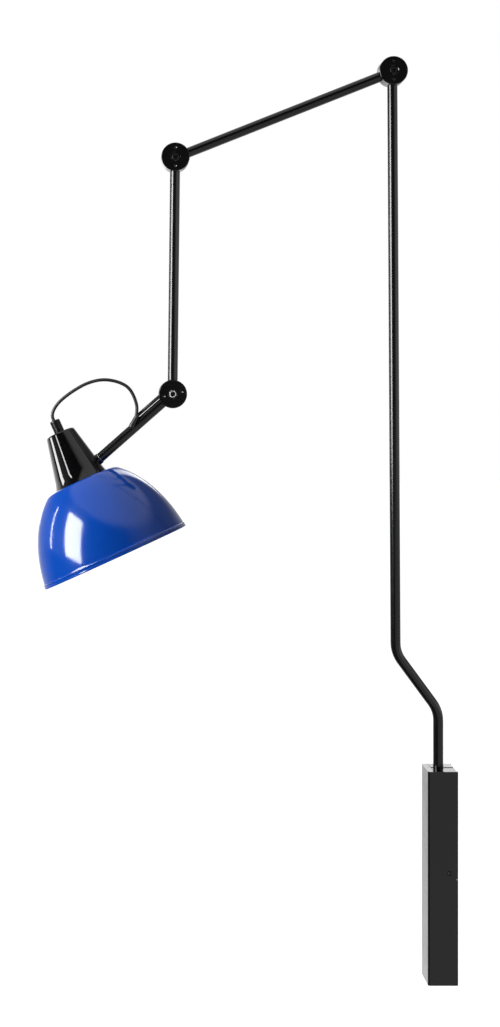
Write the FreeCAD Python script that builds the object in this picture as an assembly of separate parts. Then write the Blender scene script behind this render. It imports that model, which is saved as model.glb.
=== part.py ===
import FreeCAD
import Part
import math
import os

# Articulating wall lamp, in millimetres and degrees.
# The wall is the plane x = 0 and the lamp reaches out along -X. Z is up.
# The hinges of the arm turn about Y, and the front of each disc joint faces -Y.

# Wall box
box_depth = 36.0
box_width = 35.0
box_height = 254.0
box_sheet = 1.5
box_edge_radius = 2.5
cover_wall_gap = 0.5
cover_clearance = 0.3
flap_slit = 3.6
flange_seam = 0.4
front_flange = 7.0
flap_wall_gap = 1.5
edge_notch_height = 2.4
edge_notch_depth = 2.0
edge_notch_drop = 1.4
cover_screw_from_wall = 10.3
cover_screw_height = 5.7
cover_screw_radius = 1.5
cover_screw_head_radius = 3.0
cover_screw_head = 1.8
cover_screw_length = 5.5
cover_screw_socket = 2.0
cover_hole_clearance = 0.2

# Wall bracket
bracket_sheet = 2.0
bracket_flange = 14.0
wall_hole_radius = 2.6
wall_hole_spacing_y = 18.0
wall_hole_spacing_z = 120.0
entry_rise = 21.0
entry_hole_radius = 6.0
entry_bore_radius = 4.0
grommet_flange_radius = 8.0
grommet_flange = 2.5

# Post bearing inside the box
block_height = 18.0
block_depth = 30.0
upper_block_drop = 9.0
lower_block_rise = 115.0
block_screw_radius = 2.0
block_screw_head_radius = 3.8
block_screw_length = 11.0
block_screw_spacing = 19.0
bush_radius = 8.0
bush_flange_radius = 9.0
bush_flange = 1.5
collar_radius = 12.5
collar_height = 10.0
set_screw_radius = 2.0
swivel_limit = 75.0
stop_pin_radius = 1.25
stop_pin_circle = 10.5
stop_pin_seat = 6.0
stop_pin_height = 8.0
stop_clearance = 0.3

# Terminal block
terminal_rise = 55.0
terminal_height = 18.0
terminal_depth = 14.0
terminal_width = 26.0
terminal_pitch = 8.0
terminal_screw_radius = 2.2
terminal_screw_depth = 6.0
terminal_well = 2.0
terminal_slot = 0.8
conductor_hole_radius = 1.2

# Tubes
tube_radius = 6.0
tube_wall = 1.25
post_from_wall = 20.0
post_tail = 6.0
post_offset = 50.9
post_rise = 835.0
post_lean = 0.33
post_bend_rise = 103.4
post_bend_angle = 36.2
post_bend_radius = 36.0
upper_arm_length = 280.2
upper_arm_drop = 21.6
lower_arm_length = 283.4
lower_arm_lean = 0.64

# Disc joints
disc_radius = 17.0
half_thickness = 9.5
seam_gap = 0.3
disc_edge_round = 1.0
side_wall = 2.5
face_wall = 2.5
tube_seat_depth = 1.5
boss_radius = 6.4
friction_washer = 0.8
friction_washer_radius = 6.2
counterbore_radius = 5.5
counterbore_depth = 5.4
counterbore_chamfer = 0.6
spanner_hole_radius = 1.7
spanner_hole_circle = 11.0
spanner_hole_depth = 1.5
spanner_hole_wall = 0.5
wrist_mark_angle = 14.0
pivot_radius = 2.5
pivot_head_radius = 4.25
pivot_head = 4.2
pivot_head_round = 0.5
hex_socket = 4.0
hex_socket_depth = 2.4
spring_washer = 1.0
nut_across_flats = 8.0
nut_height = 4.7

# Head arm and head swivel
head_arm_drop = 41.4
head_arm_reach = 149.1
swivel_ring = 0.8
swivel_ring_radius = 6.6
ring_from_head_axis = 33.4
stub_length = 7.4
stub_radius = 6.8
swivel_bolt_radius = 3.0
swivel_bolt_head_radius = 4.5
swivel_bolt_head = 3.0
insert_length = 18.0
bolt_tip_gap = 3.0

# Head, measured along its own axis from the top of the shade
head_tilt = 24.6
head_roll = 6.5
crown_below_arm = 7.1
shade_height = 99.5
shade_sheet = 1.2
dome_radius = 92.0
dome_height = 132.3
dome_centre_below_rim = 16.5
crown_corner_depth = 3.0
rim_height = 4.3
rim_flare_height = 2.0
rim_radius = 91.9
rim_thickness = 1.6
shade_hole_radius = 19.7
cone_height = 64.2
cone_bottom_radius = 32.0
cone_foot_flare = 1.4
cone_foot_height = 12.0
cone_top_radius = 17.6
cone_wall = 2.0
cone_top_round = 2.5
holder_radius = 19.0
holder_top = 44.0
holder_chamfer = 6.0
holder_flange_radius = 23.0
holder_flange = 3.2
holder_skirt_radius = 19.5
holder_skirt = 18.0
holder_floor = 20.0
shade_ring_radius = 26.0
shade_ring_height = 6.0
shell_radius = 14.4
shell_wall = 1.0
nipple_radius = 5.0
nipple_bore_radius = 3.6
nipple_bottom = 34.0
nipple_top = 74.4
grip_radius = 6.2
grip_length = 16.5
grip_round = 1.6
lead_bottom = 26.0
bulb_radius = 29.5
bulb_centre_depth = 51.0
bulb_glass = 1.0
bulb_neck_radius = 13.0
bulb_neck_end = 19.0
bulb_shoulder = 30.0
bulb_bend_out = 0.32
bulb_bend_down = 0.6
cap_radius = 13.1
cap_bottom = 12.0
cap_shoulder = 10.0
cap_top = 18.0
cap_button_radius = 5.0
cap_wall = 1.0

# Cable
cable_radius = 2.0
cable_side_step = 2.65
loop_start = 18.5
shoulder_loop_bend = 12.0
elbow_loop_bend = 8.6
wrist_loop_bend = 12.0
loop_radius = 11.6
elbow_loop_radius = 11.0
side_step_start = 90.0
tail_bend_place = 0.3
strand_offset = 8.5
strand_level = 7.0
strand_start = 20.0
strand_end = 51.5
strand_back = -0.3
strand_run = 8.0
way_out_clearance = 0.3
socket_clearance = 0.05
boot_top = (49.5, 8.5)
boot_top_radius = 2.7
boot_bottom = (62.6, 3.5)
boot_bottom_radius = 3.4
boot_front = -4.4
boot_slot_clearance = 0.1

# Running fits
running_clearance = 0.05
joint_clearance = 0.3
post_hole_clearance = 0.5

# The free cable from the boot to the cord grip: how far along, how high and how far sideways,
# as shares of the way from one to the other
arch_start = (52.94, 7.33)
arch_route = [
    (-0.0000, 0.0000, 0),
    (-0.0317, 0.1042, 0),
    (-0.0084, 0.2563, 0.015),
    (0.0712, 0.3913, 0.09),
    (0.2068, 0.4735, 0.22),
    (0.3894, 0.5028, 0.39),
    (0.5786, 0.4559, 0.58),
    (0.7484, 0.3668, 0.76),
    (0.8899, 0.2680, 0.9),
    (0.9649, 0.1862, 0.97),
    (1.0022, 0.1055, 1.0),
]
arch_rise_from_grip = 1.5
grip_mouth = 8.0
grip_mouth_radius = 3.2

y_axis = FreeCAD.Vector(0, 1, 0)
z_axis = FreeCAD.Vector(0, 0, 1)
x_axis = FreeCAD.Vector(1, 0, 0)
front = -1
back = 1


def point(x, y, z):
    return FreeCAD.Vector(x, y, z)


def direction(angle):
    """Unit vector in the XZ plane, its angle counted from +X towards +Z."""
    turn = math.radians(angle)
    return point(math.cos(turn), 0, math.sin(turn))


# Places that the sizes above settle
half_height = box_height / 2
upper_block_top = half_height - upper_block_drop
lower_block_top = lower_block_rise - half_height
post_bottom = lower_block_top - block_height - post_tail
terminal_top = terminal_rise - half_height
entry_height = entry_rise - half_height
head_arm_end = head_arm_reach - ring_from_head_axis
dome_centre_depth = shade_height + dome_centre_below_rim
rim_flare_end = shade_height - rim_height
rim_flare_start = rim_flare_end - rim_flare_height
bore_radius = tube_radius - tube_wall
channel_radius = disc_radius - side_wall
seam = seam_gap / 2
face = seam + half_thickness
post_slope = math.tan(math.radians(post_lean))
shoulder_reach = post_from_wall + post_offset + (post_rise - post_bend_rise) * post_slope
shoulder = point(-shoulder_reach, 0, half_height + post_rise)
post_angle = 270.0 + post_lean
upper_arm_angle = 180.0 + upper_arm_drop
lower_arm_angle = 270.0 - lower_arm_lean
head_arm_angle = 180.0 + head_arm_drop
elbow = shoulder + direction(upper_arm_angle) * upper_arm_length
wrist = elbow + direction(lower_arm_angle) * lower_arm_length
head_point = wrist + direction(head_arm_angle) * head_arm_reach
head_up = direction(90.0 + head_tilt)
crown = head_point - head_up * crown_below_arm


def save(name, shape):
    shape.exportStep("parts/" + name + ".step")
    print(name, "solids", len(shape.Solids), "volume", round(shape.Volume, 1), "valid", shape.isValid())


def block(x_low, x_high, y_low, y_high, z_low, z_high):
    size = (x_high - x_low, y_high - y_low, z_high - z_low)
    return Part.makeBox(size[0], size[1], size[2], point(x_low, y_low, z_low))


def rod(start, end, radius):
    line = end - start
    return Part.makeCylinder(radius, line.Length, start, line)


def pipe(start, end, outer, inner):
    line = end - start
    past = line * (1.0 / line.Length)
    return rod(start, end, outer).cut(rod(start - past, end + past, inner))


def cone(start, end, start_radius, end_radius):
    line = end - start
    return Part.makeCone(start_radius, end_radius, line.Length, start, line)


def polygon_face(points):
    return Part.Face(Part.makePolygon(points + [points[0]]))


def hexagon(start, end, across_flats):
    """Prism with six sides between two points, one corner towards +Z."""
    corner = across_flats / math.sqrt(3)
    axis = end - start
    corners = [start + direction(90 + 60 * index) * corner for index in range(6)]
    return polygon_face(corners).extrude(axis)


def turned(edges):
    """Solid of revolution about Z from edges in the XZ plane."""
    return Part.Face(Part.Wire(edges)).revolve(point(0, 0, 0), z_axis, 360)


def outline(points):
    """Straight edges through points given as radius and height."""
    spots = [point(radius, 0, height) for radius, height in points]
    return [Part.makeLine(a, b) for a, b in zip(spots[:-1], spots[1:])]


def turned_points(points):
    return turned(outline(points + [points[0]]))


def on_head(shape):
    """Move a piece from the head's own axis to its place in the lamp."""
    shape.rotate(point(0, 0, 0), y_axis, -head_tilt)
    shape.translate(crown)
    shape.rotate(wrist, direction(head_arm_angle), head_roll)
    return shape


def on_head_axis(height):
    """Point on the head's own axis in its place, above the top of the shade."""
    return on_head(Part.Vertex(0, 0, height)).Point


def on_head_arm(along, offset, side):
    """Point given along the head arm from the wrist, above its axis, and in Y."""
    return wrist + direction(head_arm_angle) * along + direction(head_arm_angle - 90) * offset + y_axis * side


# Round pipes along straight runs and tangent arcs

def corner_radii(points, radius):
    """Radius at each inner point: the one given, or as large as the two runs allow."""
    radii = []
    for before, here, after in zip(points[:-2], points[1:-1], points[2:]):
        run_in = here - before
        run_out = after - here
        turn = run_in.getAngle(run_out)
        shorter = min(run_in.Length, run_out.Length)
        radii.append(radius if radius else 0.45 * shorter / math.tan(turn / 2))
    return radii


def rounded_path(points, radius=None):
    radii = corner_radii(points, radius)
    edges = []
    start = points[0]
    for before, here, after, bend in zip(points[:-2], points[1:-1], points[2:], radii):
        into = (here - before).normalize()
        out = (after - here).normalize()
        half_turn = into.getAngle(out) / 2
        reach = bend * math.tan(half_turn)
        inward = (out - into).normalize()
        first = here - into * reach
        last = here + out * reach
        middle = here + inward * (bend / math.cos(half_turn) - bend)
        edges.append(Part.LineSegment(start, first).toShape())
        edges.append(Part.Arc(first, middle, last).toShape())
        start = last
    edges.append(Part.LineSegment(start, points[-1]).toShape())
    return Part.Wire(edges), radii


def swept(path, start, along, radius):
    ring = Part.Wire(Part.makeCircle(radius, start, along))
    return path.makePipeShell([ring], True, False)


def cable(name, points, radius=None):
    """Solid cable along a route. Prints its bend radii and how its volume compares."""
    path, radii = rounded_path(points, radius)
    solid = swept(path, points[0], points[1] - points[0], cable_radius)
    expected = math.pi * cable_radius ** 2 * path.Length
    print(name, "length", round(path.Length, 1), "radii", [round(r, 1) for r in radii],
          "volume ratio", round(solid.Volume / expected, 5))
    return solid


# Wall box

def box_cover():
    half = box_width / 2
    shell = block(-box_depth, -cover_wall_gap, -half, half, -half_height, half_height)
    outer_edges = [edge for edge in shell.Edges if is_upright_front_edge(edge)]
    shell = shell.makeFillet(box_edge_radius, outer_edges)
    inside = block(box_sheet - box_depth, 1, box_sheet - half, half - box_sheet,
                   box_sheet - half_height, half_height - box_sheet)
    shell = shell.cut(inside)
    for level in (half_height, -half_height):
        shell = shell.cut(flap_seams(level))
    post_line = point(-post_from_wall, 0, 0)
    hole = tube_radius + post_hole_clearance
    shell = shell.cut(rod(post_line + z_axis * upper_block_top, post_line + z_axis * (half_height + 1), hole))
    screw_place = point(-cover_screw_from_wall, 0, cover_screw_height)
    shell = shell.cut(rod(screw_place - y_axis * box_width, screw_place + y_axis * box_width,
                          cover_screw_radius + cover_hole_clearance))
    return shell.cut(edge_notch())


def is_upright_front_edge(edge):
    upright = edge.BoundBox.ZLength > box_height - 1
    return upright and edge.BoundBox.XMax < -box_depth + 1


def flap_seams(level):
    """Seams that part the two end flaps from each other and from the front flange."""
    low = level - 2 * box_sheet
    high = level + 2 * box_sheet
    flange_edge = front_flange - box_depth
    inner = box_width / 2 - box_sheet
    middle = block(flange_edge, 1, -flap_slit / 2, flap_slit / 2, low, high)
    across = block(flange_edge, flange_edge + flange_seam, -inner, inner, low, high)
    at_wall = block(-flap_wall_gap, 1, -inner, inner, low, high)
    return middle.fuse([across, at_wall])


def edge_notch():
    z_middle = -edge_notch_drop
    return block(-edge_notch_depth - cover_wall_gap, 1, -box_width, -box_width / 2 + 2 * box_sheet,
                 z_middle - edge_notch_height / 2, z_middle + edge_notch_height / 2)


def cover_screws():
    screws = []
    for side in (front, back):
        seat = point(-cover_screw_from_wall, side * box_width / 2, cover_screw_height)
        out = y_axis * side
        head = rod(seat, seat + out * cover_screw_head, cover_screw_head_radius)
        half_way = seat + out * cover_screw_head / 2
        rim = [edge for edge in head.Edges if abs(edge.CenterOfMass.y) > abs(half_way.y)]
        head = head.makeFillet(cover_screw_head / 2, rim[:1])
        recess = hexagon(half_way, seat + out * cover_screw_head * 2, cover_screw_socket)
        shank = rod(seat - out * cover_screw_length, seat, cover_screw_radius)
        screws.append(head.cut(recess).fuse(shank).removeSplitter())
    return Part.makeCompound(screws)


def bracket_half_width():
    return box_width / 2 - box_sheet - cover_clearance


def bracket_half_height():
    return half_height - box_sheet - cover_clearance


def wall_bracket():
    wide = bracket_half_width()
    tall = bracket_half_height()
    shape = block(-bracket_sheet - bracket_flange, 0, -wide, wide, -tall, tall)
    inner = wide - bracket_sheet
    flange_end = -bracket_sheet - bracket_flange
    shape = shape.cut(block(flange_end - 1, -bracket_sheet, -inner, inner, -tall - 1, tall + 1))
    for side in (front, back):
        for level in (front, back):
            spot = point(1, side * wall_hole_spacing_y / 2, level * wall_hole_spacing_z / 2)
            shape = shape.cut(rod(spot, spot - x_axis * 2 * (bracket_sheet + 1), wall_hole_radius))
    entry = point(1, 0, entry_height)
    shape = shape.cut(rod(entry, entry - x_axis * 2 * (bracket_sheet + 1), entry_hole_radius))
    for screw in block_screw_solids():
        shape = shape.cut(screw)
    screw_line = point(-cover_screw_from_wall, 0, cover_screw_height)
    past_box = y_axis * box_width
    return shape.cut(rod(screw_line - past_box, screw_line + past_box, cover_screw_radius))


def block_screw_solids():
    """Countersunk screws from the wall side into the two bearing blocks."""
    screws = []
    for top in (upper_block_top, lower_block_top):
        for side in (front, back):
            spot = point(0, side * block_screw_spacing / 2, top - block_height / 2)
            under_head = spot - x_axis * bracket_sheet
            head = cone(spot, under_head, block_screw_head_radius, block_screw_radius)
            shank = rod(under_head, spot - x_axis * block_screw_length, block_screw_radius)
            screws.append(head.fuse(shank).removeSplitter())
    return screws


def bearing_block(top):
    wide = bracket_half_width() - bracket_sheet - cover_clearance
    shape = block(-bracket_sheet - block_depth, -bracket_sheet, -wide, wide, top - block_height, top)
    axis = point(-post_from_wall, 0, 0)
    shape = shape.cut(rod(axis + z_axis * (top - block_height - 1), axis + z_axis * (top + 1), bush_radius))
    for screw in block_screw_solids():
        shape = shape.cut(screw)
    return shape


def stop_pin_place():
    return point(stop_pin_circle - post_from_wall, 0, lower_block_top)


def lower_bearing_block():
    pin = stop_pin_place()
    hole = rod(pin - z_axis * stop_pin_seat, pin + z_axis, stop_pin_radius)
    return bearing_block(lower_block_top).cut(hole)


def swivel_stop_pin():
    pin = stop_pin_place()
    return rod(pin - z_axis * stop_pin_seat, pin + z_axis * stop_pin_height, stop_pin_radius)


def bush(top):
    axis = point(-post_from_wall, 0, 0)
    body = rod(axis + z_axis * (top - block_height), axis + z_axis * top, bush_radius)
    flange = rod(axis + z_axis * top, axis + z_axis * (top + bush_flange), bush_flange_radius)
    bore = rod(axis + z_axis * (top - block_height - 1), axis + z_axis * (top + bush_flange + 1),
               tube_radius + running_clearance)
    return body.fuse(flange).removeSplitter().cut(bore)


def entry_grommet():
    outside = point(0, 0, entry_height)
    inside = outside - x_axis * bracket_sheet
    end = inside - x_axis * grommet_flange
    body = rod(outside, inside, entry_hole_radius).fuse(rod(inside, end, grommet_flange_radius))
    return body.removeSplitter().cut(rod(outside + x_axis, end - x_axis, entry_bore_radius))


def terminal_screw_spots():
    return [point(-bracket_sheet - terminal_depth, step * terminal_pitch, terminal_top - terminal_height / 2)
            for step in (-1, 0, 1)]


def terminal_block():
    shape = block(-bracket_sheet - terminal_depth, -bracket_sheet, -terminal_width / 2, terminal_width / 2,
                  terminal_top - terminal_height, terminal_top)
    for spot in terminal_screw_spots():
        shape = shape.cut(rod(spot - x_axis, spot + x_axis * terminal_screw_depth, terminal_screw_radius))
        foot = spot + x_axis * terminal_depth / 2 - z_axis * (terminal_height / 2 + 1)
        hole_top = foot + z_axis * (terminal_height / 2 - terminal_well)
        shape = shape.cut(rod(foot, hole_top, conductor_hole_radius))
    return shape


def terminal_screws():
    screws = []
    for spot in terminal_screw_spots():
        top = spot + x_axis * terminal_well
        head = rod(top, spot + x_axis * terminal_screw_depth, terminal_screw_radius)
        reach = terminal_screw_radius * 2
        half_slot = terminal_slot / 2
        slot = block(spot.x - 1, spot.x + terminal_well + terminal_slot, spot.y - reach, spot.y + reach,
                     spot.z - half_slot, spot.z + half_slot)
        screws.append(head.cut(slot))
    return Part.makeCompound(screws)


# Post

def post_route(bottom):
    """Corner points of the post's centre line, up to the shoulder."""
    x_low = -post_from_wall
    middle = half_height + post_bend_rise
    half_run = post_offset / math.tan(math.radians(post_bend_angle)) / 2
    x_high = x_low - post_offset - half_run * post_slope
    return [point(x_low, 0, bottom), point(x_low, 0, middle - half_run), point(x_high, 0, middle + half_run)]


def cope(centre, own_side):
    """Space that a joint keeps clear of a tube let into one of its halves."""
    own = rod(centre + y_axis * own_side * seam, centre + y_axis * own_side * disc_radius, channel_radius)
    other = rod(centre + y_axis * own_side * seam, centre - y_axis * own_side * disc_radius,
                disc_radius + joint_clearance)
    return own.fuse(other)


def tube_seat(centre, angle):
    """Rod that cuts a tube's seat into the side wall of a joint half."""
    out = direction(angle)
    start = centre + out * (channel_radius - tube_seat_depth)
    return rod(start, centre + out * (disc_radius + 1), tube_radius)


def post_tube():
    points = post_route(post_bottom) + [shoulder]
    path = rounded_path(points, post_bend_radius)[0]
    tube = swept(path, points[0], z_axis, tube_radius).cut(swept(path, points[0], z_axis, bore_radius))
    return tube.cut(cope(shoulder, front))


def post_collar():
    low = point(-post_from_wall, 0, lower_block_top + bush_flange)
    high = low + z_axis * collar_height
    collar = pipe(low, high, collar_radius, tube_radius)
    half_notch = swivel_limit + math.degrees(math.asin((stop_pin_radius + stop_clearance) / stop_pin_circle))
    notch_floor = stop_pin_circle - stop_pin_radius - stop_clearance
    notch = Part.makeCylinder(collar_radius * 2, collar_height + 2, low - z_axis, z_axis, 2 * half_notch)
    notch.rotate(low, z_axis, -half_notch)
    notch = notch.cut(rod(low - z_axis * 2, high + z_axis * 2, notch_floor))
    return collar.cut(notch).cut(collar_set_screw())


def collar_set_screw():
    middle = point(-post_from_wall, 0, lower_block_top + bush_flange + collar_height / 2)
    return rod(middle - x_axis * tube_radius, middle - x_axis * collar_radius, set_screw_radius).common(
        rod(middle - z_axis * collar_height, middle + z_axis * collar_height, collar_radius))


# Disc joints

def half_profile(side):
    """Section of a joint half as radius and distance from the mid-plane."""
    boss_top = friction_washer / 2
    floor = face - face_wall
    hole = pivot_radius + running_clearance
    seat = face - counterbore_depth
    rounded = disc_radius - disc_edge_round
    slant = disc_edge_round * (1 - math.sqrt(0.5))
    corners = [(hole, boss_top), (boss_radius, boss_top), (boss_radius, floor), (channel_radius, floor),
               (channel_radius, seam), (disc_radius, seam), (disc_radius, face - disc_edge_round)]
    rest = [(rounded, face), (counterbore_radius + counterbore_chamfer, face),
            (counterbore_radius, face - counterbore_chamfer), (counterbore_radius, seat), (hole, seat),
            (hole, boss_top)]
    start = [point(r, side * y, 0) for r, y in corners]
    end = [point(r, side * y, 0) for r, y in rest]
    edges = [Part.makeLine(a, b) for a, b in zip(start[:-1], start[1:])]
    edges.append(Part.Arc(start[-1], point(disc_radius - slant, side * (face - slant), 0), end[0]).toShape())
    edges += [Part.makeLine(a, b) for a, b in zip(end[:-1], end[1:])]
    return Part.Face(Part.Wire(edges))


def joint_half(centre, side, tube_angle, mark_angle):
    half = half_profile(side).revolve(point(0, 0, 0), y_axis, 360)
    half.translate(centre)
    half = half.cut(tube_seat(centre, tube_angle))
    for turn in (0, 180):
        spot = centre + direction(mark_angle + turn) * spanner_hole_circle + y_axis * side * face
        half = half.cut(spanner_hole(spot, y_axis * side))
    return half


def spanner_hole(spot, out):
    """Short round hole with a cone for its floor."""
    wall_end = spot - out * spanner_hole_wall
    floor = spot - out * spanner_hole_depth
    return rod(wall_end, spot + out, spanner_hole_radius).fuse(cone(wall_end, floor, spanner_hole_radius, 0))


def wrist_front_half():
    half = joint_half(wrist, front, head_arm_angle, wrist_mark_angle)
    inside = on_head_arm(channel_radius / 2, strand_offset, -cable_side_step)
    outside = on_head_arm(disc_radius + 2, strand_offset, -cable_side_step)
    return half.cut(rod(inside, outside, cable_radius + way_out_clearance))


def pivot_screw(centre):
    """Socket head screw through the joint, its head in the front half."""
    seat = centre - y_axis * (face - counterbore_depth + spring_washer)
    head_top = seat - y_axis * pivot_head
    end = centre + y_axis * (face - counterbore_depth + nut_height)
    head = rod(seat, head_top, pivot_head_radius)
    rim = [edge for edge in head.Edges if edge.BoundBox.YMax < head_top.y + pivot_head / 2]
    head = head.makeFillet(pivot_head_round, rim[:1])
    socket = hexagon(head_top - y_axis, head_top + y_axis * hex_socket_depth, hex_socket)
    return head.fuse(rod(seat, end, pivot_radius)).removeSplitter().cut(socket)


def joint_spring_washer(centre):
    seat = centre - y_axis * (face - counterbore_depth)
    return pipe(seat, seat - y_axis * spring_washer, pivot_head_radius + joint_clearance, pivot_radius)


def joint_friction_washer(centre):
    return pipe(centre - y_axis * friction_washer / 2, centre + y_axis * friction_washer / 2,
                friction_washer_radius, pivot_radius + running_clearance)


def joint_nut(centre):
    seat = centre + y_axis * (face - counterbore_depth)
    nut = hexagon(seat, seat + y_axis * nut_height, nut_across_flats)
    return nut.cut(rod(seat - y_axis, seat + y_axis * (nut_height + 1), pivot_radius))


def arm_tube(start, start_side, end, end_side):
    tube = pipe(start, end, tube_radius, bore_radius)
    return tube.cut(cope(start, start_side)).cut(cope(end, end_side))


# Cable through the tubes and round each joint's boss

def in_tube(centre, angle, side):
    return centre + direction(angle) * loop_start + y_axis * side * cable_side_step


def loop_corner(centre, angle, side, radius):
    return centre + direction(angle) * radius + y_axis * side * cable_side_step


def shoulder_cable_loop():
    return cable("shoulder_cable_loop", [
        in_tube(shoulder, post_angle, front),
        loop_corner(shoulder, post_angle, front, loop_radius),
        loop_corner(shoulder, upper_arm_angle, back, loop_radius),
        in_tube(shoulder, upper_arm_angle, back),
    ], shoulder_loop_bend)


def elbow_cable_loop():
    first = upper_arm_angle + 180.0
    middle = (first + lower_arm_angle) / 2
    return cable("elbow_cable_loop", [
        in_tube(elbow, first, back),
        loop_corner(elbow, first, back, elbow_loop_radius),
        loop_corner(elbow, middle, 0, elbow_loop_radius),
        loop_corner(elbow, lower_arm_angle, front, elbow_loop_radius),
        in_tube(elbow, lower_arm_angle, front),
    ], elbow_loop_bend)


def wrist_cable_loop():
    arriving = lower_arm_angle - 180.0
    corner = strand_offset / math.cos(math.radians(head_arm_angle - 90.0 - arriving))
    return cable("wrist_cable_loop", [
        in_tube(wrist, arriving, back),
        loop_corner(wrist, arriving, back, corner),
        on_head_arm(strand_level, strand_offset, -cable_side_step),
        on_head_arm(strand_start, strand_offset, -cable_side_step),
    ], wrist_loop_bend)


def head_arm_cable():
    return cable("head_arm_cable", [
        on_head_arm(strand_start, strand_offset, -cable_side_step),
        on_head_arm(strand_start + strand_run, strand_offset, -cable_side_step),
        on_head_arm(strand_end - strand_run, strand_offset, strand_back),
        on_head_arm(strand_end, strand_offset, strand_back),
    ])


def post_cable():
    end = in_tube(shoulder, post_angle, front)
    down = direction(post_angle)
    below = end + down * side_step_start
    middle = shoulder + down * (loop_start + 2 * side_step_start)
    return cable("post_cable", post_route(post_bottom) + [middle, below, end], post_bend_radius)


def upper_arm_cable():
    start = in_tube(shoulder, upper_arm_angle, back)
    end = in_tube(elbow, upper_arm_angle + 180.0, back)
    return rod(start, end, cable_radius)


def lower_arm_cable():
    start = in_tube(elbow, lower_arm_angle, front)
    end = in_tube(wrist, lower_arm_angle - 180.0, back)
    down = direction(lower_arm_angle) * side_step_start
    return cable("lower_arm_cable", [start, start + down, end - down, end], post_bend_radius)


def box_cable_tail():
    x_end = -bracket_sheet - terminal_depth / 2
    drop = post_bottom - terminal_top
    return cable("box_cable_tail", [
        point(-post_from_wall, 0, post_bottom),
        point(-post_from_wall, 0, post_bottom - drop * tail_bend_place),
        point(x_end, 0, post_bottom - drop * (1 - tail_bend_place)),
        point(x_end, 0, terminal_top),
    ])


# Head arm

def boot_outline(side, extra):
    """Teardrop of two arcs and the two lines that touch both, in the plane of the arm."""
    top = on_head_arm(boot_top[0], boot_top[1], side)
    bottom = on_head_arm(boot_bottom[0], boot_bottom[1], side)
    small = boot_top_radius + extra
    large = boot_bottom_radius + extra
    along = (bottom - top).normalize()
    across = along.cross(y_axis)
    lean = math.asin((large - small) / (bottom - top).Length)
    sideways = across * math.cos(lean)
    touch = [sideways - along * math.sin(lean), -sideways - along * math.sin(lean)]
    edges = [
        Part.Arc(top + touch[0] * small, top - along * small, top + touch[1] * small).toShape(),
        Part.makeLine(top + touch[1] * small, bottom + touch[1] * large),
        Part.Arc(bottom + touch[1] * large, bottom + along * large, bottom + touch[0] * large).toShape(),
        Part.makeLine(bottom + touch[0] * large, top + touch[0] * small),
    ]
    return Part.Face(Part.Wire(edges)), top, along


def boot_body(extra):
    """Teardrop with a round edge, thick enough for the two cable ends side by side."""
    middle = boot_outline(boot_front, extra)[0].extrude(y_axis * (strand_back - boot_front))
    ends = []
    for side in (boot_front, strand_back):
        face, top, along = boot_outline(side, extra)
        half = face.common(half_space(top, along))
        ends.append(half.revolve(top, along, 360))
    return middle.fuse(ends).removeSplitter()


def half_space(top, along):
    """Square face on one side of the boot's axis, in the plane of the arm."""
    across = along.cross(y_axis)
    start = top - along * disc_radius
    end = top + along * 2 * disc_radius
    return polygon_face([start, end, end + across * disc_radius, start + across * disc_radius])


def head_arm_tube():
    tube = pipe(wrist, on_head_arm(head_arm_end, 0, 0), tube_radius, bore_radius)
    return tube.cut(cope(wrist, front)).cut(boot_body(boot_slot_clearance))


def cable_boot():
    strand_in = rod(on_head_arm(strand_end - strand_run, strand_offset, strand_back),
                    on_head_arm(strand_end, strand_offset, strand_back), cable_radius + socket_clearance)
    route = arch_points()[:3]
    arch_in = rounded_path(route)[0]
    return boot_body(0).cut(strand_in).cut(
        swept(arch_in, route[0], route[1] - route[0], cable_radius + socket_clearance))


def tube_insert():
    return pipe(on_head_arm(head_arm_end - insert_length, 0, 0), on_head_arm(head_arm_end, 0, 0),
                bore_radius, swivel_bolt_radius)


def swivel_ring_piece():
    return pipe(on_head_arm(head_arm_end, 0, 0), on_head_arm(head_arm_end + swivel_ring, 0, 0),
                swivel_ring_radius, swivel_bolt_radius)


def stub_ends():
    start = head_arm_end + swivel_ring
    return start, start + stub_length


def swivel_bolt():
    seat = stub_ends()[1]
    head = rod(on_head_arm(seat, 0, 0), on_head_arm(seat + swivel_bolt_head, 0, 0), swivel_bolt_head_radius)
    tip = head_arm_end - insert_length + bolt_tip_gap
    shank = rod(on_head_arm(tip, 0, 0), on_head_arm(seat, 0, 0), swivel_bolt_radius)
    return head.fuse(shank).removeSplitter()


def swivel_stub():
    start, end = stub_ends()
    bore = swivel_bolt_radius + running_clearance
    return pipe(on_head_arm(start, 0, 0), on_head_arm(end, 0, 0), stub_radius, bore)


# Head

def cone_at(height):
    """Radius of the straight cone at a height above the top of the shade."""
    return cone_bottom_radius - (cone_bottom_radius - cone_top_radius) * height / cone_height


def cone_solid():
    """Cone whose foot flares out in one arc."""
    foot = point(cone_bottom_radius + cone_foot_flare, 0, 0)
    middle = point(cone_at(cone_foot_height / 2) + cone_foot_flare / 4, 0, cone_foot_height / 2)
    flare_end = point(cone_at(cone_foot_height), 0, cone_foot_height)
    top = point(cone_top_radius, 0, cone_height)
    edges = outline([(0, 0), (foot.x, 0)]) + [Part.Arc(foot, middle, flare_end).toShape()]
    edges += [Part.makeLine(flare_end, top)]
    edges += outline([(cone_top_radius, cone_height), (0, cone_height), (0, 0)])
    return turned(edges)


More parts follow.
